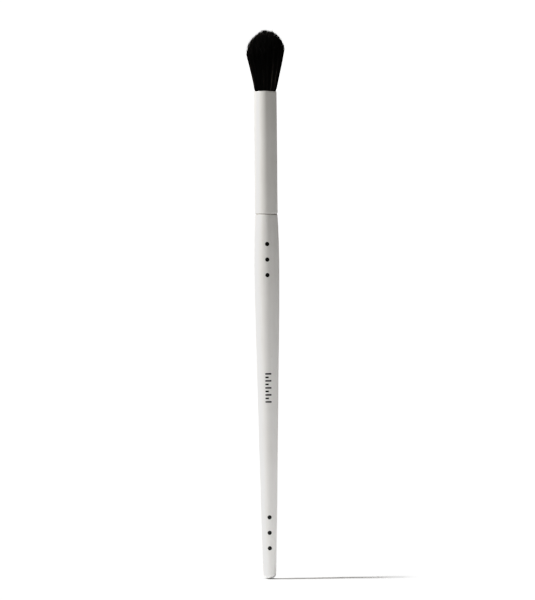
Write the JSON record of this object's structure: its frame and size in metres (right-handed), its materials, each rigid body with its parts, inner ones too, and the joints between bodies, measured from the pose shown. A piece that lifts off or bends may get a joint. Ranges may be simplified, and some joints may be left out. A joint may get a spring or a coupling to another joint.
{
  "type": "eyeshadow brush",
  "caption": "Slim round eyeshadow brush: white lacquered tapered wooden handle, straight white metal ferrule and a flared, domed tuft of black hair for blending colour in the eyelid's fold.",
  "frame": {"origin": "centre of the small flat at the butt end of the handle, on which the brush stands upright", "axes": "+Z along the brush's axis, from the butt through the ferrule to the tip of the hair; the brush is round, so +X and +Y are any two directions across it; the printed marks face -Y"},
  "size_m": [0.0114, 0.0112, 0.17],
  "materials": {
    "lacquered_wood": "white satin lacquer over turned wood, smooth, with a faint waviness",
    "painted_tube": "white satin paint on a drawn aluminium tube",
    "black_hair": "soft black tapered filaments with a faint sheen",
    "binding_thread": "twisted cotton",
    "cast_resin": "clear amber epoxy",
    "glue": "thin set adhesive"
  },
  "bodies": {
    "root": {"handle": "lacquered_wood", "ferrule": "painted_tube", "bristle_tuft": "black_hair", "knot_thread": "binding_thread", "root_resin": "cast_resin", "tenon_adhesive": "glue"}
  },
  "joints": []
}
